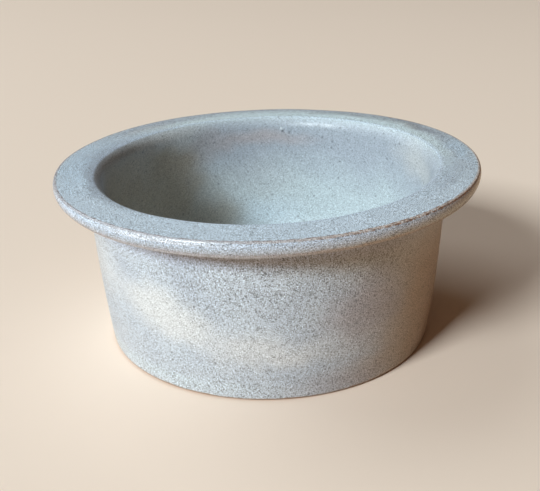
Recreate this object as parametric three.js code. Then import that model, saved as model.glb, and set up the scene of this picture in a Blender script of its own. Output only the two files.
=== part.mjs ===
import * as THREE from 'three';

// Round stoneware planter, thrown and turned in one piece: a tapering wall with
// a slight bow, a wide flange for a rim, and a turned foot ring underneath.
// Millimetres, +Z up. The origin is the centre of the plane that the foot
// stands on. The pot is one section, drawn as (radius, height), revolved.

const planterColour = 0xbcc8cf;

// Whole pot
const potHeight = 75;

// Flange
const flangeRadius = 90;       // at the widest point of its edge
const flangeThickness = 7.6;
const edgeBowRadius = 5.3;     // the edge is bowed outwards
const edgeBowDepth = 2.4;      // from the top down to its widest point
const arrisRadius = 1;         // upper corner of the edge
const undersideRadius = 1.5;   // lower corner of the edge
const undercutRadius = 4;      // where the underside runs into the wall

// Wall
const wallTopRadius = 76.3;    // outside, level with the flange's underside
const wallFootRadius = 71.8;   // outside, carried down to the foot's plane
const wallBow = 0.8;           // how far the wall swells between the two
const wallThickness = 6.1;     // measured level

// Mouth and inside
const mouthRadius = 4.8;       // rounding from the flange's top into the wall
const floorThickness = 7;
const floorCurveRadius = 18;   // rounding from the wall into the floor

// Foot
const footRound = 1.6;         // outer lower corner of the pot
const footRingWidth = 8.5;     // from the wall's foot line in to the recess
const footRingRound = 0.6;
const footRecess = 2.4;        // how far the underside is turned away
const footRecessFillet = 1.6;

// Facets
const turns = 96;              // around the pot
const facetGap = 0.05;         // most that a flat step may lie off its arc in the section

const undersideHeight = potHeight - flangeThickness;

// A bow is the circle that a face follows in section.
const outerWall = bowBetween([wallFootRadius, 0], [wallTopRadius, undersideHeight], wallBow);
const innerWall = { ...outerWall, r: outerWall.r - wallThickness };
const flangeEdge = { r: flangeRadius - edgeBowRadius, z: potHeight - edgeBowDepth, radius: edgeBowRadius };

// Circle through two points that swells by the rise outside their chord
function bowBetween([r1, z1], [r2, z2], rise) {
  const chord = Math.hypot(r2 - r1, z2 - z1);
  const radius = chord ** 2 / (8 * rise) + rise / 2;
  const inwards = radius - rise;
  return {
    r: (r1 + r2) / 2 - inwards * (z2 - z1) / chord,
    z: (z1 + z2) / 2 + inwards * (r2 - r1) / chord,
    radius,
  };
}

// A round between a bow and a level face. It lies inside the bow's circle on
// an outer corner, and outside it where one face runs into the next. Its
// contact is the direction, in degrees, in which the bow's centre sees it.
function roundOn(bow, radius, z, side) {
  const reach = side === 'inside' ? bow.radius - radius : bow.radius + radius;
  const rise = z - bow.z;
  const run = Math.sqrt(reach ** 2 - rise ** 2);
  return { r: bow.r + run, z, radius, contact: THREE.MathUtils.radToDeg(Math.atan2(rise, run)) };
}

// Points along a circle, from one angle to another in degrees
function arc({ r, z, radius }, from, to) {
  const [start, end] = [from, to].map(THREE.MathUtils.degToRad);
  const stepAngle = 2 * Math.acos(1 - facetGap / radius);
  const steps = Math.max(2, Math.ceil(Math.abs(end - start) / stepAngle));
  return new THREE.EllipseCurve(r, z, radius, radius, start, end, to < from).getPoints(steps);
}

// Underside, from the axis out to the foot's outer corner
function undersideSection(footCorner) {
  const ringInside = wallFootRadius - footRingWidth;
  const recessCorner = {
    r: ringInside - footRecessFillet,
    z: footRecess - footRecessFillet,
    radius: footRecessFillet,
  };
  const ringCorner = { r: ringInside + footRingRound, z: footRingRound, radius: footRingRound };
  return [
    new THREE.Vector2(0, footRecess),
    ...arc(recessCorner, 90, 0),
    ...arc(ringCorner, 180, 270),
    ...arc(footCorner, -90, footCorner.contact),
  ];
}

// Outside of the wall, and the fillet under the flange
function wallSection(footCorner, undercut) {
  return [
    ...arc(outerWall, footCorner.contact, undercut.contact).slice(1),
    ...arc(undercut, undercut.contact + 180, 90).slice(1),
  ];
}

// Edge of the flange, from its underside to its top
function flangeSection() {
  const lowerCorner = roundOn(flangeEdge, undersideRadius, undersideHeight + undersideRadius, 'inside');
  const arris = roundOn(flangeEdge, arrisRadius, potHeight - arrisRadius, 'inside');
  return [
    ...arc(lowerCorner, -90, lowerCorner.contact),
    ...arc(flangeEdge, lowerCorner.contact, 0).slice(1),
    ...arc(flangeEdge, 0, arris.contact).slice(1),
    ...arc(arris, arris.contact, 90).slice(1),
  ];
}

// Mouth, inside of the wall and the floor, back to the axis
function insideSection() {
  const mouth = roundOn(innerWall, mouthRadius, potHeight - mouthRadius, 'outside');
  const floorCurve = roundOn(innerWall, floorCurveRadius, floorThickness + floorCurveRadius, 'inside');
  return [
    ...arc(mouth, 90, mouth.contact + 180),
    ...arc(innerWall, mouth.contact, floorCurve.contact).slice(1),
    ...arc(floorCurve, floorCurve.contact, -90).slice(1),
    new THREE.Vector2(0, floorThickness),
  ];
}

function potSection() {
  const footCorner = roundOn(outerWall, footRound, footRound, 'inside');
  const undercut = roundOn(outerWall, undercutRadius, undersideHeight - undercutRadius, 'outside');
  return [
    ...undersideSection(footCorner),
    ...wallSection(footCorner, undercut),
    ...flangeSection(),
    ...insideSection(),
  ];
}

function makePot() {
  const shell = new THREE.LatheGeometry(potSection(), turns);
  shell.rotateX(Math.PI / 2);  // the lathe turns about +Y, the pot stands along +Z
  const glaze = new THREE.MeshStandardMaterial({ color: planterColour, roughness: 0.4, metalness: 0 });
  const pot = new THREE.Mesh(shell, glaze);
  pot.name = 'stoneware_pot';
  return pot;
}

const planter = new THREE.Group();
planter.add(makePot());

export default planter;
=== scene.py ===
# Glazed stoneware planter, thrown in one piece. Metres, +Z up, foot on the XY plane.
# The camera looks along +Y, so the pot's front is its -Y side. Places on the pot are
# given by the angle from the front, in degrees and positive to the right.

import math
import bpy
from mathutils import Matrix, Vector


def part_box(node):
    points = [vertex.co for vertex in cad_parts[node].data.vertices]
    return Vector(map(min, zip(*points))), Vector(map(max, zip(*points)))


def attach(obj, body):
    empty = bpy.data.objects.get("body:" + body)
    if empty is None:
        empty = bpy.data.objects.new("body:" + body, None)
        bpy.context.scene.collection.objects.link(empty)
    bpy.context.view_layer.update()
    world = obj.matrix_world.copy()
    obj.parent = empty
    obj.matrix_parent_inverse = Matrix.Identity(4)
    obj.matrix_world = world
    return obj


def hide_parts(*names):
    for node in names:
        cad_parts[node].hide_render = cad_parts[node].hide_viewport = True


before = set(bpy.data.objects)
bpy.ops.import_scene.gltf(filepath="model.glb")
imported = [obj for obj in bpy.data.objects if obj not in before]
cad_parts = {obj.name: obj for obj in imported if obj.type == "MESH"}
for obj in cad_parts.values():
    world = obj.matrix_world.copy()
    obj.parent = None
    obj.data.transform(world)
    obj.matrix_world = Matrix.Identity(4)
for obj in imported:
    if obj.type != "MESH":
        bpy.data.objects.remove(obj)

scene = bpy.context.scene
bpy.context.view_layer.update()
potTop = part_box("stoneware_pot")[1]
potHeight = potTop.z
flangeRadius = potTop.x


# Helpers for node trees

def addNode(tree, kind, inputs=None, **settings):
    made = tree.nodes.new(kind)
    for name, value in settings.items():
        setattr(made, name, value)
    for name, value in (inputs or {}).items():
        feed(tree, made.inputs[name], value)
    return made


def feed(tree, socket, value):
    if isinstance(value, bpy.types.NodeSocket):
        tree.links.new(value, socket)
    else:
        socket.default_value = value


def maths(tree, operation, *values, clamp=False):
    inputs = dict(enumerate(values))
    return addNode(tree, "ShaderNodeMath", inputs, operation=operation, use_clamp=clamp).outputs[0]


def vectorMaths(tree, operation, *values):
    return addNode(tree, "ShaderNodeVectorMath", dict(enumerate(values)), operation=operation).outputs[0]


def scaled(tree, vector, by):
    inputs = {"Vector": vector, "Scale": by}
    return addNode(tree, "ShaderNodeVectorMath", inputs, operation="SCALE").outputs[0]


def lengthOf(tree, vector):
    return addNode(tree, "ShaderNodeVectorMath", {0: vector}, operation="LENGTH").outputs["Value"]


def fade(tree, value, start, end, low=0.0, high=1.0):
    inputs = {"Value": value, "From Min": start, "From Max": end, "To Min": low, "To Max": high}
    return addNode(tree, "ShaderNodeMapRange", inputs, interpolation_type="SMOOTHSTEP").outputs[0]


def noise(tree, vector, size, detail=2.0, roughness=0.5):
    inputs = {"Vector": vector, "Scale": 1 / size, "Detail": detail, "Roughness": roughness}
    return addNode(tree, "ShaderNodeTexNoise", inputs)


# The camera. It stands where the photograph was taken from.

cameraPlace = {
    "focalLength": 54.01,  # mm, as is the sensor's width
    "sensorWidth": 36,
    "aim": (0.00056, -0.00055, 0.03471),
    "distance": 0.36458,
    "elevation": 23.235,  # degrees, as is the roll
    "roll": 1.564,  # the picture hangs this much to the left
    "clip": (0.01, 50),  # nearest and farthest
}


def makeCamera(place):
    camera = bpy.data.objects.new("camera", bpy.data.cameras.new("camera"))
    scene.collection.objects.link(camera)
    scene.camera = camera
    camera.data.lens = place["focalLength"]
    camera.data.sensor_width = place["sensorWidth"]
    camera.data.clip_start, camera.data.clip_end = place["clip"]
    elevation = math.radians(place["elevation"])
    back = Vector((0, -math.cos(elevation), math.sin(elevation)))
    stand = Matrix.Translation(Vector(place["aim"]) + back * place["distance"])
    tilt = Matrix.Rotation(math.pi / 2 - elevation, 4, "X")
    roll = Matrix.Rotation(-math.radians(place["roll"]), 4, "Z")
    camera.matrix_world = stand @ (tilt @ roll)
    print("camera:", place["focalLength"], "mm lens,", place["distance"], "m from the pot's middle")


makeCamera(cameraPlace)


# The pot's section, from the middle of the underside out, up and back to the middle of the floor

potShape = {
    "flangeThickness": 0.0076,
    "edgeBowRadius": 0.0053,
    "edgeBowDepth": 0.0024,  # from the top down to the edge's widest point
    "arrisRadius": 0.001,
    "undersideRadius": 0.0015,
    "undercutRadius": 0.004,
    "wallTopRadius": 0.0763,
    "wallFootRadius": 0.0718,
    "wallBow": 0.0008,
    "wallThickness": 0.0061,
    "mouthEdgeRadius": 0.0029,
    "mouthFlareRadius": 0.0070,
    "mouthFlareTilt": 38,  # how steep the mouth is where its small round passes into its flare
    "floorThickness": 0.007,
    "floorCurveRadius": 0.018,
    "footRound": 0.0016,
    "footRingWidth": 0.0085,
    "footRingRound": 0.0006,
    "footRecess": 0.0024,
    "footRecessFillet": 0.0016,
    "fineStep": 0.0004,  # between points on small rounds
    "wallStep": 0.0012,
    "hiddenStep": 0.003,
    "samePoint": 1e-7,  # two points nearer than this are one
}


def circle(r, z, radius, contact=0.0):
    return {"r": r, "z": z, "radius": radius, "contact": contact}


def bowBetween(bottom, top, rise):
    # the circle through two points that swells by the rise outside their chord
    along, up = top[0] - bottom[0], top[1] - bottom[1]
    chord = math.hypot(along, up)
    radius = chord ** 2 / (8 * rise) + rise / 2
    inwards = radius - rise
    middle = ((bottom[0] + top[0]) / 2, (bottom[1] + top[1]) / 2)
    return circle(middle[0] - inwards * up / chord, middle[1] + inwards * along / chord, radius)


def roundOn(bow, radius, height, inside):
    # a round that touches the bow, inside its circle or outside it
    reach = bow["radius"] - radius if inside else bow["radius"] + radius
    rise = height - bow["z"]
    run = math.sqrt(reach ** 2 - rise ** 2)
    return circle(bow["r"] + run, height, radius, math.degrees(math.atan2(rise, run)))


def arc(around, start, end, step):
    turn = math.radians(end - start)
    count = max(3, math.ceil(abs(turn) * around["radius"] / step))
    angles = [math.radians(start) + turn * i / count for i in range(count + 1)]
    radius = around["radius"]
    return [(around["r"] + radius * math.cos(a), around["z"] + radius * math.sin(a)) for a in angles]


def level(start, end, step):
    # points between the two, without the first and the last
    count = math.ceil(math.dist(start, end) / step)
    shares = [i / count for i in range(1, count)]
    return [(start[0] + (end[0] - start[0]) * s, start[1] + (end[1] - start[1]) * s) for s in shares]


def potSection(shape):
    fine, wall, hidden = shape["fineStep"], shape["wallStep"], shape["hiddenStep"]
    underside = potHeight - shape["flangeThickness"]
    outer = bowBetween((shape["wallFootRadius"], 0), (shape["wallTopRadius"], underside), shape["wallBow"])
    inner = dict(outer, r=outer["r"] - shape["wallThickness"])
    edgeMiddle = flangeRadius - shape["edgeBowRadius"]
    edge = circle(edgeMiddle, potHeight - shape["edgeBowDepth"], shape["edgeBowRadius"])

    footCorner = roundOn(outer, shape["footRound"], shape["footRound"], True)
    undercut = roundOn(outer, shape["undercutRadius"], underside - shape["undercutRadius"], False)
    lowerCorner = roundOn(edge, shape["undersideRadius"], underside + shape["undersideRadius"], True)
    arris = roundOn(edge, shape["arrisRadius"], potHeight - shape["arrisRadius"], True)
    tilt = math.radians(shape["mouthFlareTilt"])
    between = shape["mouthFlareRadius"] - shape["mouthEdgeRadius"]
    mouthTop = potHeight - shape["mouthEdgeRadius"]
    flare = roundOn(inner, shape["mouthFlareRadius"], mouthTop - between * math.cos(tilt), False)
    mouth = circle(flare["r"] - between * math.sin(tilt), mouthTop, shape["mouthEdgeRadius"])
    flareStart = 90 + shape["mouthFlareTilt"]
    floorHeight = shape["floorThickness"] + shape["floorCurveRadius"]
    floorCurve = roundOn(inner, shape["floorCurveRadius"], floorHeight, True)
    ringInside = shape["wallFootRadius"] - shape["footRingWidth"]
    fillet = shape["footRecessFillet"]
    recessCorner = circle(ringInside - fillet, shape["footRecess"] - fillet, fillet)
    ringCorner = circle(ringInside + shape["footRingRound"], shape["footRingRound"], shape["footRingRound"])

    # each stretch, with the step of the straight that leads to it
    stretches = [
        (hidden, [(0, shape["footRecess"])]),
        (hidden, arc(recessCorner, 90, 0, fine)),
        (fine, arc(ringCorner, 180, 270, fine / 2)),
        (wall, arc(footCorner, -90, footCorner["contact"], fine)),
        (wall, arc(outer, footCorner["contact"], undercut["contact"], wall)),
        (fine, arc(undercut, undercut["contact"] + 180, 90, fine * 1.5)),
        (wall, arc(lowerCorner, -90, lowerCorner["contact"], fine)),
        (fine, arc(edge, lowerCorner["contact"], arris["contact"], fine)),
        (fine, arc(arris, arris["contact"], 90, fine / 2)),
        (wall, arc(mouth, 90, flareStart, fine / 2)),
        (fine, arc(flare, flareStart, flare["contact"] + 180, wall / 2)),
        (wall, arc(inner, flare["contact"], floorCurve["contact"], wall)),
        (wall, arc(floorCurve, floorCurve["contact"], -90, wall)),
        (hidden, [(0, shape["floorThickness"])]),
    ]
    points = []
    for step, stretch in stretches:
        if points and math.dist(points[-1], stretch[0]) < shape["samePoint"]:
            stretch = stretch[1:]
        elif points:
            points += level(points[-1], stretch[0], step)
        points += stretch
    return points


# Geometry Nodes turn the section into the pot, as a wheel would, with the unevenness
# of a pot that was thrown by hand and slumped a little in the kiln.

wheel = {
    "Turns": 384,
    "Weld Distance": 1e-6,
    "Even Below": 0.002,  # the foot is true up to here, and the unevenness whole above the next
    "Uneven Above": 0.014,
    "Slump": 0.0004,  # how far the rim rises at two opposite places and sinks between them
    "Slump Turn": math.radians(-11),  # where it rises, from the right towards the back
    "Lean": 0.0009,  # how far the rim rises on one side and sinks on the other
    "Lean Turn": math.radians(28),
    "Dip": 0.0005,  # how far the flange sinks on the left, from the first radius in to the second
    "Dip Start": 0.0795,
    "Dip End": 0.0743,
    "Dip Side Start": -0.45,  # X over the radius where it begins on the left, and where it is whole
    "Dip Side End": -0.80,
    "Ring Height": 0.00005,
    "Ring Spacing": 0.0075,
    "Waver": 0.00044,  # from lowest to highest, as the chatter's is
    "Waver Size": 0.034,
    "Chatter": 0.00006,
    "Chatter Size": 0.0055,
    "Seed": 7.0,
}


def awayFromFoot(tree, height, settings):
    return fade(tree, height, settings["Even Below"], settings["Uneven Above"])


def rimLift(tree, place, settings):
    # how far slump, lean and dip lift a place: most at the rim, and nothing at the foot
    split = addNode(tree, "ShaderNodeSeparateXYZ", {0: place}).outputs
    around = maths(tree, "ARCTAN2", split["Y"], split["X"])
    fromHigh = maths(tree, "MULTIPLY", maths(tree, "SUBTRACT", around, settings["Slump Turn"]), 2)
    saddle = maths(tree, "MULTIPLY", maths(tree, "COSINE", fromHigh), settings["Slump"])
    fromLean = maths(tree, "SUBTRACT", around, settings["Lean Turn"])
    tilt = maths(tree, "MULTIPLY", maths(tree, "COSINE", fromLean), settings["Lean"])
    fromAxis = addNode(tree, "ShaderNodeCombineXYZ", {"X": split["X"], "Y": split["Y"]}).outputs[0]
    radius = lengthOf(tree, fromAxis)
    reach = maths(tree, "DIVIDE", radius, flangeRadius)
    share = maths(tree, "POWER", maths(tree, "DIVIDE", split["Z"], potHeight), 2)
    most = maths(tree, "MULTIPLY", share, awayFromFoot(tree, split["Z"], settings))
    uneven = maths(tree, "MULTIPLY", maths(tree, "ADD", saddle, tilt), reach)
    toMouth = maths(tree, "SUBTRACT", settings["Dip Start"], radius)
    dipWidth = maths(tree, "SUBTRACT", settings["Dip Start"], settings["Dip End"])
    inwards = maths(tree, "DIVIDE", toMouth, dipWidth, clamp=True)
    side = maths(tree, "DIVIDE", split["X"], radius)
    onLeft = fade(tree, side, settings["Dip Side Start"], settings["Dip Side End"])
    dip = maths(tree, "MULTIPLY", maths(tree, "POWER", inwards, 2), onLeft)
    dip = maths(tree, "MULTIPLY", dip, settings["Dip"])
    return maths(tree, "MULTIPLY", maths(tree, "SUBTRACT", uneven, dip), most)


def wheelTree(settings):
    tree = bpy.data.node_groups.new("Thrown Pot", "GeometryNodeTree")
    sockets = tree.interface
    sockets.new_socket("Section", in_out="INPUT", socket_type="NodeSocketGeometry")
    for name, value in settings.items():
        kind = "NodeSocketInt" if isinstance(value, int) else "NodeSocketFloat"
        sockets.new_socket(name, in_out="INPUT", socket_type=kind)
    sockets.new_socket("Glaze", in_out="INPUT", socket_type="NodeSocketMaterial")
    sockets.new_socket("Pot", in_out="OUTPUT", socket_type="NodeSocketGeometry")
    given = addNode(tree, "NodeGroupInput").outputs

    # one column of grid points for each turn, laid along the section
    size = addNode(tree, "GeometryNodeAttributeDomainSize", {"Geometry": given["Section"]}, component="MESH")
    points = size.outputs["Point Count"]
    columns = maths(tree, "ADD", given["Turns"], 1)
    grid = addNode(tree, "GeometryNodeMeshGrid", {"Vertices X": columns, "Vertices Y": points})
    index = addNode(tree, "GeometryNodeInputIndex").outputs[0]
    onSection = maths(tree, "MODULO", index, points)
    turn = maths(tree, "FLOOR", maths(tree, "DIVIDE", index, points))
    angle = maths(tree, "MULTIPLY", maths(tree, "DIVIDE", turn, given["Turns"]), math.tau)
    place = addNode(tree, "GeometryNodeInputPosition").outputs[0]
    sample = addNode(tree, "GeometryNodeSampleIndex", data_type="FLOAT_VECTOR", domain="POINT")
    feed(tree, sample.inputs["Geometry"], given["Section"])
    feed(tree, sample.inputs["Value"], place)
    feed(tree, sample.inputs["Index"], onSection)
    spin = {"Vector": sample.outputs[0], "Angle": angle}
    spun = addNode(tree, "ShaderNodeVectorRotate", spin, rotation_type="Z_AXIS").outputs[0]
    shell = addNode(tree, "GeometryNodeSetPosition", {"Geometry": grid.outputs["Mesh"], "Position": spun})
    weld = {"Geometry": shell.outputs[0], "Distance": given["Weld Distance"]}
    closed = addNode(tree, "GeometryNodeMergeByDistance", weld)
    outwards = addNode(tree, "GeometryNodeFlipFaces", {"Mesh": closed.outputs[0]})

    # waver, chatter marks and throwing rings along the normal, then slump, lean and dip
    split = addNode(tree, "ShaderNodeSeparateXYZ", {0: place}).outputs
    raised = awayFromFoot(tree, split["Z"], given)
    seed = addNode(tree, "ShaderNodeCombineXYZ", {"X": given["Seed"]}).outputs[0]
    seeded = vectorMaths(tree, "ADD", place, seed)
    slow = addNode(tree, "ShaderNodeTexNoise", {"Vector": seeded, "Detail": 1.0})
    feed(tree, slow.inputs["Scale"], maths(tree, "DIVIDE", 1, given["Waver Size"]))
    quick = addNode(tree, "ShaderNodeTexNoise", {"Vector": seeded, "Detail": 2.0})
    feed(tree, quick.inputs["Scale"], maths(tree, "DIVIDE", 1, given["Chatter Size"]))
    ringTurn = maths(tree, "DIVIDE", split["Z"], given["Ring Spacing"])
    rings = maths(tree, "SINE", maths(tree, "MULTIPLY", ringTurn, math.tau))
    waver = maths(tree, "MULTIPLY", maths(tree, "SUBTRACT", slow.outputs[0], 0.5), given["Waver"])
    chatter = maths(tree, "MULTIPLY", maths(tree, "SUBTRACT", quick.outputs[0], 0.5), given["Chatter"])
    ridges = maths(tree, "MULTIPLY", maths(tree, "MULTIPLY", rings, slow.outputs[0]), given["Ring Height"])
    swell = maths(tree, "ADD", maths(tree, "ADD", waver, chatter), ridges)
    normal = addNode(tree, "GeometryNodeInputNormal").outputs[0]
    proud = scaled(tree, normal, maths(tree, "MULTIPLY", swell, raised))
    up = addNode(tree, "ShaderNodeCombineXYZ", {"Z": rimLift(tree, place, given)}).outputs[0]
    offset = vectorMaths(tree, "ADD", proud, up)
    uneven = addNode(tree, "GeometryNodeSetPosition", {"Geometry": outwards.outputs[0], "Offset": offset})

    smooth = addNode(tree, "GeometryNodeSetShadeSmooth", {"Geometry": uneven.outputs[0]})
    real = addNode(tree, "GeometryNodeRealizeInstances", {"Geometry": smooth.outputs[0]})
    finish = {"Geometry": real.outputs[0], "Material": given["Glaze"]}
    glazed = addNode(tree, "GeometryNodeSetMaterial", finish)
    addNode(tree, "NodeGroupOutput", {"Pot": glazed.outputs[0]})
    return tree


def makePot(shape, settings, material):
    section = bpy.data.meshes.new("potSection")
    points = [(r, 0, z) for r, z in potSection(shape)]
    section.from_pydata(points, [(i, i + 1) for i in range(len(points) - 1)], [])
    pot = bpy.data.objects.new("glazedPot", section)
    scene.collection.objects.link(pot)
    modifier = pot.modifiers.new("wheel", "NODES")
    modifier.node_group = wheelTree(settings)
    values = dict(settings, Glaze=material)
    for socket in modifier.node_group.interface.items_tree:
        if socket.name in values:
            modifier[socket.identifier] = values[socket.name]
    evaluated = pot.evaluated_get(bpy.context.evaluated_depsgraph_get())
    turned = bpy.data.meshes.new_from_object(evaluated)
    pot.modifiers.clear()
    pot.data = turned
    print("pot:", len(turned.vertices), "points,", len(turned.polygons), "faces")
    return pot


# The glaze. Iron in the clay shows through it as specks. It is rusty where it ran thin over
# an edge, and cream, mint, lavender or mauve from place to place. Some of its colours are
# painted light: painted shade and shadow on the wall, flange and inside, and painted
# highlights, glints and sheen on the flange.

glazeLook = {
    "blue": (0.62, 0.70, 0.80, 1),
    "deepBlue": (0.53, 0.605, 0.715, 1),
    "shade": (0.52, 0.59, 0.77, 1),
    "cream": (0.77, 0.81, 0.85, 1),
    "sand": (0.73, 0.765, 0.81, 1),
    # painted shade where the wall turns from the light and at its foot, and on the flange's edge to the
    # right
    "coolShade": (0.46, 0.45, 0.50, 1),
    # painted shade: warm on the wall's right side, turned from the window lamp, and darker by the foot there
    "warmShade": (0.49, 0.39, 0.335, 1),
    "footShade": (0.36, 0.26, 0.20, 1),
    "pool": (0.67, 0.77, 0.86, 1),
    "mint": (0.55, 0.615, 0.645, 1),
    "lavender": (0.435, 0.47, 0.53, 1),
    "mauve": (0.49, 0.45, 0.47, 1),
    # painted shadow of the rim on the inside's left
    "insideShadow": (0.38, 0.30, 0.20, 1),
    "pearl": (0.62, 0.62, 0.62, 1),
    "flange": (0.63, 0.715, 0.81, 1),
    # painted shade on the flange's far side and right
    "flangeInShade": (0.47, 0.535, 0.60, 1),
    # painted sheen where the flange runs into the mouth at the back
    "mouth": (0.67, 0.765, 0.79, 1),
    # painted shade on the flange: by the mouth on the left, where it slopes from the light, and a painted
    # dark reflection on the back's outer ring
    "flangePaintedShade": (0.42, 0.475, 0.555, 1),
    "frost": (0.54, 0.70, 0.86, 1),
    # painted sheen on the flange's far side by the mouth
    "backSheen": (0.70, 0.82, 0.87, 1),
    "tan": (0.55, 0.51, 0.46, 1),
    "edge": (0.56, 0.65, 0.785, 1),
    "blush": (0.53, 0.59, 0.735, 1),
    # a pale lip low on the edge, partly glaze and partly a painted rim light
    "lipAndRimLight": (0.67, 0.75, 0.92, 1),
    # painted highlight on the upper corner round the far side
    "backRimHighlight": (0.76, 0.73, 0.74, 1),
    # painted highlight along the front left of the flange's upper edge
    "edgeHighlight": (0.79, 0.81, 0.88, 1),
    "peach": (0.58, 0.43, 0.34, 1),
    "rust": (0.25, 0.12, 0.065, 1),
    "pinkRust": (0.44, 0.40, 0.42, 1),
    "speck": (0.075, 0.08, 0.095, 1),
    "clay": (0.44, 0.31, 0.22, 1),
    "clayGroove": (0.30, 0.20, 0.14, 1),
    "wallMiddleDepth": 0.003,  # how far in from the wall's outside the inside's glaze begins
    "wander": 0.014,  # how far the patches' edges wander
    "wanderSize": 0.017,
    "flangeWander": 0.06,
    "wallCloudSize": 0.026,
    "insideCloudSize": 0.022,
    "insideCloudHeight": 0.02,
    "bandWaveSize": 0.0045,  # of the mauve band on the flange's edge
    "bandRaggedness": 0.0022,
    "paleLine": 0.75,  # the strength of the pale line at the upper corner
    "lineWearSize": 0.0022,
    "pepperSpacing": 0.00044,
    "pepperRadius": (0.00010, 0.00024),
    "pepperShare": 0.46,  # of the places for a speck, how many have one
    "pepperStrength": 0.9,
    "wallDensity": 0.94,
    "flangeDensity": -0.15,  # this and the inside's are added to the wall's
    "insideDensity": -0.36,
    "dotSpacing": 0.0042,
    "dotRadius": (0.00022, 0.00052),
    "dotShare": 0.75,
    "dotStrength": 0.66,
    "grainSize": 0.00030,
    "grainContrast": 3.8,
    "evenGrain": 0.6,  # the grain that is everywhere, and the grain that goes with the pepper
    "grainWithPepper": 0.4,
    # of the painted glints on the flange's sides
    "glintSize": 0.0008,
    "blister": (0.0081, 0.0697, 0.0695),  # a burst bubble on the mouth's far side
    "blisterShadow": (0.0004, 0, -0.0011),  # from the bubble's middle
    # of the blister's painted highlight
    "blisterHighlightStrength": 0.8,
    "tideSize": 0.009,
    "tideLowest": 0.0004,  # where the glaze ends at its lowest, and how far up that wanders
    "tideRise": 0.0012,
    "grooveSize": 0.0014,
    "roughness": (0.35, 0.47),
    "glossSize": 0.006,
    "edgeGloss": 0.22,  # how much less rough the flange's edge is
    "clayRoughness": 0.85,
    "skinSize": 0.0011,
    "edgeSmoothing": 0.6,  # how much of the skin's relief the flange's edge lacks
    "pitDepth": 0.5,  # this and the next two are measured against the skin's relief
    "grooveDepth": 1.5,
    "blisterRise": 4.0,
    "bumpStrength": 0.35,
    "bumpDistance": 0.0002,
}

# Where one thing passes into the next: start, end and, where they aren't 0 and 1, the strengths
# there. They go by radius, height, X or a noise.
glazeFades = {
    "innerSide": (-0.0003, 0.0003),
    "aboveRecess": (0.004, 0.005),
    "belowRecess": (0.0045, 0.004),
    "mouth": (0.0695, 0.0765),
    "outEdge": (0.078, 0.082),
    "flangeHeight": (0.066, 0.0674),
    "patchEdge": (1.75, 0.3),  # in half widths and half heights
    "wallCloud": (0.40, 0.66, 0.0, 0.8),
    "shade": (0.055, 0.063, 0.0, 0.8),
    "pool": (0.0095, 0.0060),
    "poolAcross": (0.010, -0.043, 0.0, 0.9),
    "mint": (0.062, 0.036),
    "aboveFloor": (0.0085, 0.0180),
    "mouthSheen": (0.083, 0.0765),
    "coarseRight": (-0.01, 0.06, 0.2, 0.65),
    "coarseLeft": (-0.02, -0.07, 0.2, 0.6),
    "glint": (0.60, 0.72),
    "belowTop": (0.0748, 0.0741),
    # towards the right the edge dims and its low band turns mauve: painted shade
    "coolShadeAcross": (-0.035, 0.10, 0.0, 0.5),
    "band": (0.0706, 0.0697, 0.0, 0.9),
    "mauveShadeAcross": (-0.01, 0.035),
    # the pale lip, partly a painted rim light, strongest on the left
    "lipAndRimLight": (0.0695, 0.0690),
    "lipAndRimLightAcross": (0.022, -0.020, 0.15, 0.9),
    "peachAcross": (-0.03, 0.05),
    "upperWorn": (0.44, 0.56),
    "upperAcross": (-0.03, 0.05, 0.40, 0.9),
    "upperEnd": (0.080, 0.062),
    "lowerWorn": (0.60, 0.40),
    "lowerWhole": (0.055, 0.072),
    "lowerAcross": (0.0, 0.06, 0.2, 1.0),
    "stainAcross": (0.055, 0.080, 0.0, 0.4),
    "edgeHighlightStart": (-0.070, -0.044),
    "edgeHighlightEnd": (-0.002, -0.034, 0.0, 0.7),
    "blister": (0.0010, 0.0003),
    "blisterShadow": (0.0009, 0.0003, 0.0, 0.7),
    "bare": (0.0003, -0.0002),
    "groove": (0.3, 0.7, 0.0, 0.35),
    "gloss": (0.3, 0.7),
}
# The same, after the direction that each goes in
crossFades = {
    # painted shade on the flange, and a painted sheen by the mouth, towards the back
    "far": ((0.45, 1, 0), -0.09, 0.08),
    "mouthSheenBehind": ((0.6, 1, 0), 0.0, 0.06, 0.9),
    "edgeHighlightInFront": ((0, -1, 0), 0.0, 0.03),
    # the painted highlight round the far side
    "backRimHighlightBehind": ((0, 1, 0), -0.01, 0.03, 0.7),
}
# Lines round the flange's upper corner: width to each side, and how far in and down from the
# corner the line's middle lies
cornerLines = {
    "pale": (0.0009, 0.0008, 0.0001),
    "upper": (0.0005, 0.0013, 0.0),
    "lower": (0.00055, 0.0004, 0.0004),
    "stain": (0.0017, 0.0001, 0.0012),
    # the painted highlight on the front left
    "edgeHighlight": (0.0012, 0.0002, 0.0012),
    # the painted highlight round the far side
    "backRimHighlight": (0.0010, 0.0003, 0.0002),
}
lineCore = 0.4  # the share of that width where a line is whole

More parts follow.
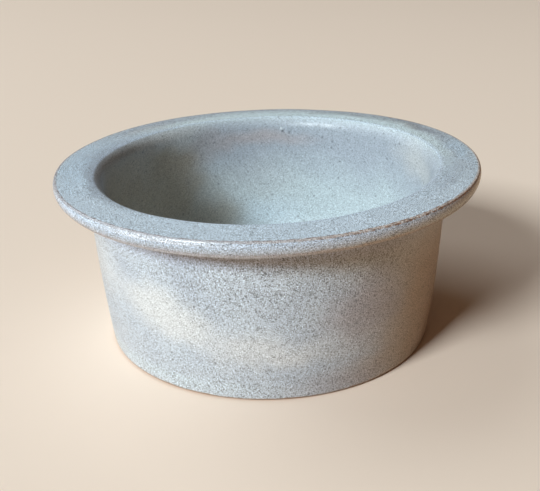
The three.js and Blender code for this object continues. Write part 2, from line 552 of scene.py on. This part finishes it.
# Soft patches: angle from the front, height, half width, half height, lean, strength. On the
# flange the second number is the distance from the pot's middle.
wallPatches = {
    # painted warm shade on the wall's right side, and darker painted shade by the foot there
    "warmShade": [(67, 0.0280, 0.037, 0.0335, 0, 0.92), (31, 0.0075, 0.014, 0.0070, 0, 0.36)],
    "footShade": [(76, 0.0070, 0.026, 0.0170, 0, 0.78)],
    # painted shade under the flange on the right, in the mauve glaze colour
    "mauve": [(32, 0.0590, 0.016, 0.0060, 0, 0.35)],
    # painted shade as the wall turns from the light, and a painted contact shadow by the foot
    "coolShade": [(29, 0.0360, 0.016, 0.0110, 0, 0.90), (23, 0.0040, 0.020, 0.0045, 0, 0.50)],
    "cream": [
        (-66, 0.0430, 0.018, 0.0110, 0, 0.55),
        (-37, 0.0355, 0.018, 0.0090, -12, 0.92),
        (-27, 0.0335, 0.014, 0.0080, -18, 0.80),
    ],
    "sand": [
        (-4, 0.0225, 0.020, 0.0065, -4, 0.76),
        (14, 0.0225, 0.014, 0.0060, 0, 0.30),
    ],
}
insidePatches = {
    "mauve": [(-176, 0.0650, 0.026, 0.0040, 2, 0.95), (-154, 0.0610, 0.012, 0.0050, 0, 0.45)],
    "tan": [(-121, 0.0630, 0.015, 0.0060, 0, 0.60)],
    # the rim's painted shadow on the inside's left, down to the floor
    "insideShadow": [
        (-110, 0.0410, 0.047, 0.0360, 0, 0.95),
        (-97, 0.0655, 0.014, 0.0060, 0, 0.45),
        (-137, 0.0620, 0.013, 0.0070, 0, 0.48),
        (-138, 0.0470, 0.016, 0.0150, 0, 0.66),
        (-142, 0.0290, 0.018, 0.0100, 0, 0.50),
        (-158, 0.0250, 0.014, 0.0080, 0, 0.50),
    ],
    "pearl": [
        (102, 0.0660, 0.020, 0.0080, 0, 0.85),
        (-172, 0.0420, 0.026, 0.0120, 0, 0.22),
        (-138, 0.0715, 0.017, 0.0060, 0, 0.85),
        (-121, 0.0635, 0.011, 0.0050, 0, 0.12),
    ],
    "pool": [(179, 0.0230, 0.016, 0.0080, 0, 0.40), (-158, 0.0530, 0.009, 0.0060, 0, 0.18)],
}
flangePatches = {
    # painted shade by the mouth on the left and elsewhere, and a painted dark reflection on the back's outer
    # ring
    "flangePaintedShade": [
        (-102, 0.0775, 0.030, 0.0030, 0, 0.55),
        (-86, 0.0750, 0.042, 0.0025, 0, 0.90),
        (-134, 0.0840, 0.018, 0.0026, 0, 0.90),
        (64, 0.0785, 0.014, 0.0040, 0, 0.55),
        (88, 0.0815, 0.020, 0.0040, 0, 0.35),
        (121, 0.0855, 0.018, 0.0026, 0, 0.85),
    ],
    "frost": [(-91, 0.0825, 0.034, 0.0055, 0, 0.40), (93, 0.0842, 0.014, 0.0030, 0, 0.40)],
    # painted sheen on the flange's far side by the mouth
    "backSheen": [(150, 0.0790, 0.040, 0.0055, 0, 0.95), (-172, 0.0790, 0.020, 0.0040, 0, 0.60)],
    "tan": [(-134, 0.0790, 0.010, 0.0040, 0, 0.20), (124, 0.0835, 0.007, 0.0030, 0, 0.25)],
    # a painted dark reflection on the back's outer ring, in the specks' colour
    "speck": [(123, 0.0852, 0.017, 0.0026, 0, 0.34), (149, 0.0856, 0.016, 0.0022, 0, 0.20)],
}
pepperPatches = [  # where there are more specks on the wall, and where fewer
    (2, 0.0530, 0.045, 0.0130, 0, 0.22),
    (0, 0.0060, 0.060, 0.0060, 0, 0.12),
    (-42, 0.0370, 0.026, 0.0105, -14, -0.45),
    (-8, 0.0240, 0.026, 0.0080, -6, -0.25),
    (70, 0.0300, 0.040, 0.0600, 0, -0.32),
]


def mixColours(tree, factor, first, second):
    made = addNode(tree, "ShaderNodeMix", data_type="RGBA")
    feed(tree, made.inputs[0], factor)
    feed(tree, made.inputs[6], first)
    feed(tree, made.inputs[7], second)
    return made.outputs[2]


def faded(tree, value, name):
    return fade(tree, value, *glazeFades[name])


def potPlaces(tree, look):
    # what the patterns are laid out by: the radius and height as thrown, before the pot
    # slumped, and its side and its flange unrolled
    place = addNode(tree, "ShaderNodeTexCoord").outputs["Object"]
    split = addNode(tree, "ShaderNodeSeparateXYZ", {0: place}).outputs
    x, y = split["X"], split["Y"]
    height = maths(tree, "SUBTRACT", split["Z"], rimLift(tree, place, wheel))
    minusX, minusY = maths(tree, "MULTIPLY", x, -1), maths(tree, "MULTIPLY", y, -1)
    radius = lengthOf(tree, addNode(tree, "ShaderNodeCombineXYZ", {"X": x, "Y": y}).outputs[0])
    waves = noise(tree, place, look["wanderSize"]).outputs["Color"]
    wander = scaled(tree, vectorMaths(tree, "SUBTRACT", waves, (0.5, 0.5, 0.5)), look["wander"])
    at = {"place": place, "x": x, "radius": radius, "height": height, "waves": waves}
    for end, turn in {"front": (x, minusY), "back": (minusX, y)}.items():
        around = maths(tree, "MULTIPLY", maths(tree, "ARCTAN2", *turn), potShape["wallTopRadius"])
        for face, level in {"Side": height, "Flange": radius}.items():
            unrolled = addNode(tree, "ShaderNodeCombineXYZ", {"X": around, "Z": level}).outputs[0]
            at[end + face] = vectorMaths(tree, "ADD", unrolled, wander)
    return at


def patch(tree, at, face, angle, level, halfWidth, halfHeight, lean, strength):
    end = "front"
    if abs(angle) > 90:
        end = "back"
        angle -= math.copysign(180, angle)
    inputs = {
        "Vector": at[end + face],
        "Location": (math.radians(angle) * potShape["wallTopRadius"], 0, level),
        "Rotation": (0, -math.radians(lean), 0),
        "Scale": (halfWidth, 1, halfHeight),
    }
    local = addNode(tree, "ShaderNodeMapping", inputs, vector_type="TEXTURE").outputs[0]
    return fade(tree, lengthOf(tree, local), *glazeFades["patchEdge"], 0.0, strength)


def patched(tree, at, face, patches, colour, look):
    for name, spots in patches.items():
        for spot in spots:
            colour = mixColours(tree, patch(tree, at, face, *spot), colour, look[name])
    return colour


def wallColour(tree, at, look):
    cloud = noise(tree, at["place"], look["wallCloudSize"], detail=1.0).outputs[0]
    colour = mixColours(tree, faded(tree, cloud, "wallCloud"), look["blue"], look["deepBlue"])
    colour = mixColours(tree, faded(tree, at["height"], "shade"), colour, look["shade"])
    # the wall's patches include painted shade on its right side, under the flange and at the foot
    colour = patched(tree, at, "Side", wallPatches, colour, look)
    pooled = maths(tree, "MULTIPLY", faded(tree, at["height"], "pool"), faded(tree, at["x"], "poolAcross"))
    return mixColours(tree, pooled, colour, look["pool"])


def insideColour(tree, at, look):
    cloud = noise(tree, at["place"], look["insideCloudSize"], detail=1.0).outputs[0]
    lift = maths(tree, "MULTIPLY", maths(tree, "SUBTRACT", cloud, 0.5), look["insideCloudHeight"])
    low = maths(tree, "ADD", at["height"], lift)
    colour = mixColours(tree, faded(tree, low, "mint"), look["lavender"], look["mint"])
    onSide = faded(tree, at["height"], "aboveFloor")
    # the inside's patches include the rim's painted shadow on the left
    return mixColours(tree, onSide, colour, patched(tree, at, "Side", insidePatches, colour, look))


def towards(tree, place, direction, start, end, most=1.0):
    # fades in across the pot, in the direction given
    along = addNode(tree, "ShaderNodeVectorMath", {0: place, 1: direction}, operation="DOT_PRODUCT")
    return fade(tree, along.outputs["Value"], start, end, 0.0, most)


def flangeColour(tree, at, look):
    # painted shade towards the back and the right, and a painted sheen where it runs into the mouth there
    cloud = scaled(tree, vectorMaths(tree, "SUBTRACT", at["waves"], (0.5, 0.5, 0.5)), look["flangeWander"])
    uneven = vectorMaths(tree, "ADD", at["place"], cloud)
    far = towards(tree, uneven, *crossFades["far"])
    colour = mixColours(tree, far, look["flange"], look["flangeInShade"])
    mouthSheenBehind = towards(tree, uneven, *crossFades["mouthSheenBehind"])
    mouthSheen = maths(tree, "MULTIPLY", faded(tree, at["radius"], "mouthSheen"), mouthSheenBehind)
    colour = mixColours(tree, mouthSheen, colour, look["mouth"])
    return patched(tree, at, "Flange", flangePatches, colour, look)


def nearArris(tree, at, line, most):
    # where a line round the pot runs near the flange's upper corner
    width, inwards, down = cornerLines[line]
    corner = (flangeRadius - inwards, 0, potHeight - down)
    section = addNode(tree, "ShaderNodeCombineXYZ", {"X": at["radius"], "Z": at["height"]}).outputs[0]
    distance = lengthOf(tree, vectorMaths(tree, "SUBTRACT", section, corner))
    return maths(tree, "MULTIPLY", fade(tree, distance, width, width * lineCore), most)


def cornerColour(tree, at, colour, look):
    # a pale line between two thin rusty ones, faint on the left and one dark line far right, with
    # a painted highlight on the left of the front and a thin painted highlight round the far side
    x = at["x"]
    worn = noise(tree, at["place"], look["lineWearSize"], roughness=0.6).outputs[0]
    pale = mixColours(tree, faded(tree, x, "peachAcross"), look["pinkRust"], look["peach"])
    colour = mixColours(tree, nearArris(tree, at, "pale", look["paleLine"]), colour, pale)
    upper = maths(tree, "MULTIPLY", faded(tree, worn, "upperWorn"), faded(tree, x, "upperAcross"))
    upper = maths(tree, "MULTIPLY", upper, faded(tree, x, "upperEnd"))
    colour = mixColours(tree, nearArris(tree, at, "upper", upper), colour, look["rust"])
    lower = maths(tree, "MAXIMUM", faded(tree, worn, "lowerWorn"), faded(tree, x, "lowerWhole"))
    lower = maths(tree, "MULTIPLY", lower, faded(tree, x, "lowerAcross"))
    colour = mixColours(tree, nearArris(tree, at, "lower", lower), colour, look["rust"])
    stain = faded(tree, x, "stainAcross")
    colour = mixColours(tree, nearArris(tree, at, "stain", stain), colour, look["rust"])
    # a painted highlight on the front left of the upper edge
    edgeHighlightShare = maths(tree, "MULTIPLY", faded(tree, x, "edgeHighlightStart"), faded(tree, x, "edgeHighlightEnd"))
    edgeHighlightShare = maths(tree, "MULTIPLY", edgeHighlightShare, towards(tree, at["place"], *crossFades["edgeHighlightInFront"]))
    colour = mixColours(tree, nearArris(tree, at, "edgeHighlight", edgeHighlightShare), colour, look["edgeHighlight"])
    # a thin painted highlight on the upper corner round the far side
    behind = towards(tree, at["place"], *crossFades["backRimHighlightBehind"])
    return mixColours(tree, nearArris(tree, at, "backRimHighlight", behind), colour, look["backRimHighlight"])


def specks(tree, place, spacing, radii, share, density):
    # one dot in each of a share of the cells, each dot of its own size; density makes
    # them more and larger
    cells = addNode(tree, "ShaderNodeTexVoronoi", {"Vector": place, "Scale": 1 / spacing}, feature="F1")
    own = addNode(tree, "ShaderNodeSeparateColor", {0: cells.outputs["Color"]}).outputs
    smallest, largest = radii
    size = maths(tree, "MULTIPLY_ADD", own["Red"], (largest - smallest) / spacing, smallest / spacing)
    swollen = maths(tree, "MULTIPLY", size, maths(tree, "MULTIPLY_ADD", density, 0.5, 0.5))
    blur = 0.12  # of a dot's edge, in cells
    inDot = fade(tree, maths(tree, "SUBTRACT", swollen, cells.outputs["Distance"]), -blur, blur)
    chosen = maths(tree, "LESS_THAN", own["Green"], maths(tree, "MULTIPLY", density, share))
    return maths(tree, "MULTIPLY", inDot, chosen)


def makeGlaze(look):
    material = bpy.data.materials.new("glaze")
    material.use_nodes = True
    tree = material.node_tree
    shader = tree.nodes["Principled BSDF"]
    at = potPlaces(tree, look)
    place, x, radius, height = at["place"], at["x"], at["radius"], at["height"]

    # which face of the pot this is
    taper = (potShape["wallTopRadius"] - potShape["wallFootRadius"]) / potHeight
    footMiddle = potShape["wallFootRadius"] - look["wallMiddleDepth"]
    wallMiddle = maths(tree, "MULTIPLY_ADD", height, taper, footMiddle)
    innerSide = faded(tree, maths(tree, "SUBTRACT", wallMiddle, radius), "innerSide")
    inside = maths(tree, "MULTIPLY", innerSide, faded(tree, height, "aboveRecess"))
    atFlange = faded(tree, height, "flangeHeight")
    flangeTop = maths(tree, "MULTIPLY", faded(tree, radius, "mouth"), atFlange)
    outEdge = maths(tree, "MULTIPLY", faded(tree, radius, "outEdge"), atFlange)

    colour = mixColours(tree, inside, wallColour(tree, at, look), insideColour(tree, at, look))
    colour = mixColours(tree, flangeTop, colour, flangeColour(tree, at, look))

    # the edge of the flange: bluer, dimmed towards the right with painted shade, with a ragged
    # mauve band that turns to painted shade on the right, a pale lip low down that is partly a
    # painted rim light, and lines where the glaze ran off the upper corner
    edge = mixColours(tree, faded(tree, x, "coolShadeAcross"), look["edge"], look["coolShade"])
    onEdge = maths(tree, "MULTIPLY", outEdge, faded(tree, height, "belowTop"))
    colour = mixColours(tree, onEdge, colour, edge)
    bandWaves = noise(tree, place, look["bandWaveSize"], detail=3.0, roughness=0.6).outputs[0]
    most = look["bandRaggedness"]
    ragged = maths(tree, "MULTIPLY_ADD", bandWaves, most, -most / 2)
    lowBand = faded(tree, maths(tree, "ADD", height, ragged), "band")
    blush = mixColours(tree, faded(tree, x, "mauveShadeAcross"), look["blush"], look["mauve"])
    colour = mixColours(tree, maths(tree, "MULTIPLY", outEdge, lowBand), colour, blush)
    # the pale lip low on the edge: partly the glaze's lip, partly a painted rim light
    lipAndRimLight = maths(tree, "MULTIPLY", outEdge, faded(tree, height, "lipAndRimLight"))
    lipAndRimLight = maths(tree, "MULTIPLY", lipAndRimLight, faded(tree, x, "lipAndRimLightAcross"))
    colour = mixColours(tree, lipAndRimLight, colour, look["lipAndRimLight"])
    colour = cornerColour(tree, at, colour, look)

    # pepper specks and some larger dots, over a fine grain that is coarser at the flange's
    # sides, where cream flecks are painted glints
    density = maths(tree, "MULTIPLY_ADD", flangeTop, look["flangeDensity"], look["wallDensity"])
    density = maths(tree, "MULTIPLY_ADD", inside, look["insideDensity"], density)
    notInside, notFlange = maths(tree, "SUBTRACT", 1, inside), maths(tree, "SUBTRACT", 1, flangeTop)
    onWall = maths(tree, "MULTIPLY", notInside, notFlange)
    for spot in pepperPatches:
        density = maths(tree, "MULTIPLY_ADD", patch(tree, at, "Side", *spot), onWall, density)
    pepper = specks(tree, place, look["pepperSpacing"], look["pepperRadius"], look["pepperShare"], density)
    dots = specks(tree, place, look["dotSpacing"], look["dotRadius"], look["dotShare"], 1.0)
    grain = noise(tree, place, look["grainSize"], roughness=0.6).outputs[0]
    atSides = maths(tree, "MAXIMUM", faded(tree, x, "coarseRight"), faded(tree, x, "coarseLeft"))
    coarse = maths(tree, "MULTIPLY", flangeTop, atSides)
    evenGrain = maths(tree, "ADD", coarse, look["evenGrain"])
    grained = maths(tree, "MULTIPLY_ADD", density, look["grainWithPepper"], evenGrain)
    grain = maths(tree, "MULTIPLY", maths(tree, "SUBTRACT", grain, 0.5), grained)
    pepper = maths(tree, "MULTIPLY", pepper, look["pepperStrength"])
    colour = mixColours(tree, pepper, colour, look["speck"])
    colour = mixColours(tree, maths(tree, "MULTIPLY", dots, look["dotStrength"]), colour, look["speck"])
    colour = scaled(tree, colour, maths(tree, "MULTIPLY_ADD", grain, look["grainContrast"], 1.0))
    # cream flecks that are painted glints on the flange's sides
    glints = faded(tree, noise(tree, place, look["glintSize"], detail=1.0).outputs[0], "glint")
    colour = mixColours(tree, maths(tree, "MULTIPLY", glints, coarse), colour, look["cream"])

    # a glaze bubble that burst: raised, with a painted highlight above and a painted shadow below
    offBlister = vectorMaths(tree, "SUBTRACT", place, look["blister"])
    blister = faded(tree, lengthOf(tree, offBlister), "blister")
    belowBlister = vectorMaths(tree, "SUBTRACT", offBlister, look["blisterShadow"])
    shadow = faded(tree, lengthOf(tree, belowBlister), "blisterShadow")
    colour = mixColours(tree, shadow, colour, look["speck"])
    blisterHighlight = maths(tree, "MULTIPLY", blister, look["blisterHighlightStrength"])
    colour = mixColours(tree, blisterHighlight, colour, look["cream"])

    # bare clay where the foot was wiped, with the rings left by the turning tool
    tideWaves = noise(tree, place, look["tideSize"]).outputs[0]
    tide = maths(tree, "MULTIPLY_ADD", tideWaves, look["tideRise"], look["tideLowest"])
    bare = faded(tree, maths(tree, "SUBTRACT", height, tide), "bare")
    under = maths(tree, "MULTIPLY", innerSide, faded(tree, height, "belowRecess"))
    unglazed = maths(tree, "MAXIMUM", bare, under)
    ringPlace = addNode(tree, "ShaderNodeCombineXYZ", {"X": radius}).outputs[0]
    rings = noise(tree, ringPlace, look["grooveSize"]).outputs[0]
    clay = mixColours(tree, faded(tree, rings, "groove"), look["clay"], look["clayGroove"])
    colour = mixColours(tree, unglazed, colour, clay)
    tree.links.new(colour, shader.inputs["Base Color"])

    # satin gloss, matt clay, and a skin that is a little uneven
    glossClouds = noise(tree, place, look["glossSize"]).outputs[0]
    gloss = fade(tree, glossClouds, *glazeFades["gloss"], *look["roughness"])
    gloss = maths(tree, "MULTIPLY_ADD", outEdge, -look["edgeGloss"], gloss)
    finish = {0: unglazed, 2: gloss, 3: look["clayRoughness"]}
    roughness = addNode(tree, "ShaderNodeMix", finish, data_type="FLOAT").outputs[0]
    tree.links.new(roughness, shader.inputs["Roughness"])
    skin = noise(tree, place, look["skinSize"]).outputs[0]
    skin = maths(tree, "MULTIPLY", skin, maths(tree, "MULTIPLY_ADD", outEdge, -look["edgeSmoothing"], 1.0))
    pitted = maths(tree, "SUBTRACT", skin, maths(tree, "MULTIPLY", dots, look["pitDepth"]))
    grooves = maths(tree, "MULTIPLY", rings, unglazed)
    grooved = maths(tree, "MULTIPLY_ADD", grooves, look["grooveDepth"], pitted)
    raised = maths(tree, "MULTIPLY_ADD", blister, look["blisterRise"], grooved)
    relief = {"Height": raised, "Strength": look["bumpStrength"], "Distance": look["bumpDistance"]}
    bump = addNode(tree, "ShaderNodeBump", relief)
    tree.links.new(bump.outputs[0], shader.inputs["Normal"])
    print("glaze:", len(tree.nodes), "nodes")
    return material


glaze = makeGlaze(glazeLook)
pot = makePot(potShape, wheel, glaze)
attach(pot, "root")
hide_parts("stoneware_pot")


# Floor, lights and background

studio = {
    "floorColour": (0.97, 0.78, 0.65, 1),
    "floorBounce": (0.70, 0.44, 0.26, 1),  # the warm light that it throws back
    "floorSize": 12.0,
    "floorRoughness": 0.8,
    "floorSpecular": 0.15,
    "backdrop": (0.82, 0.76, 0.70, 1),
    "mirrored": 0.25,  # how much of floor and backdrop a gloss shows
    "roomLight": (0.07, 0.044, 0.026, 1),  # the dim warm light of the rest of the room
    "lamps": {
        # turn from the front and rise in degrees, distance, width and height in metres,
        # level at which a white card that faces the lamp renders, colour
        "window": (-44, 33, 8.0, (2.4, 2.0), 1.07, (0.85, 0.965, 1.0)),
        "sky": (-120, 50, 6.0, (4.8, 4.8), 0.38, (0.85, 0.965, 1.0)),
    },
}


def seenDirectly(tree, mirrored):
    # 1 for what the camera sees, the share mirrored for what a gloss shows, 0 for light that falls
    rays = addNode(tree, "ShaderNodeLightPath").outputs
    glossy = maths(tree, "ADD", rays["Is Glossy Ray"], rays["Is Transmission Ray"])
    return maths(tree, "MULTIPLY_ADD", glossy, mirrored, rays["Is Camera Ray"], clamp=True)


def makeFloor(settings):
    half = settings["floorSize"] / 2
    mesh = bpy.data.meshes.new("floor")
    corners = [(-half, -half, 0), (half, -half, 0), (half, half, 0), (-half, half, 0)]
    mesh.from_pydata(corners, [], [(0, 1, 2, 3)])
    floor = bpy.data.objects.new("floor", mesh)
    scene.collection.objects.link(floor)
    material = bpy.data.materials.new("floor")
    material.use_nodes = True
    tree = material.node_tree
    shader = tree.nodes["Principled BSDF"]
    seen = seenDirectly(tree, settings["mirrored"])
    colour = mixColours(tree, seen, settings["floorBounce"], settings["floorColour"])
    tree.links.new(colour, shader.inputs["Base Color"])
    shader.inputs["Roughness"].default_value = settings["floorRoughness"]
    shader.inputs["Specular IOR Level"].default_value = settings["floorSpecular"]
    mesh.materials.append(material)


def makeLamp(name, turn, rise, distance, size, level, colour):
    data = bpy.data.lights.new(name, "AREA")
    data.shape = "RECTANGLE"
    data.size, data.size_y = size
    data.energy = level * (math.pi * distance) ** 2
    data.color = colour
    light = bpy.data.objects.new(name, data)
    scene.collection.objects.link(light)
    turn, rise = math.radians(turn), math.radians(rise)
    away = Vector((math.sin(turn) * math.cos(rise), -math.cos(turn) * math.cos(rise), math.sin(rise)))
    light.location = away * distance + Vector((0, 0, potHeight / 2))
    light.rotation_euler = away.to_track_quat("Z", "Y").to_euler()


def makeWorld(settings):
    world = bpy.data.worlds.new("studio")
    scene.world = world
    world.use_nodes = True
    tree = world.node_tree
    seen = seenDirectly(tree, settings["mirrored"])
    colour = mixColours(tree, seen, settings["roomLight"], settings["backdrop"])
    tree.links.new(colour, tree.nodes["Background"].inputs["Color"])


makeFloor(studio)
for name, lamp in studio["lamps"].items():
    makeLamp(name, *lamp)
makeWorld(studio)
scene.view_settings.view_transform = "Standard"
print("studio:", len(studio["lamps"]), "lamps, floor and backdrop")
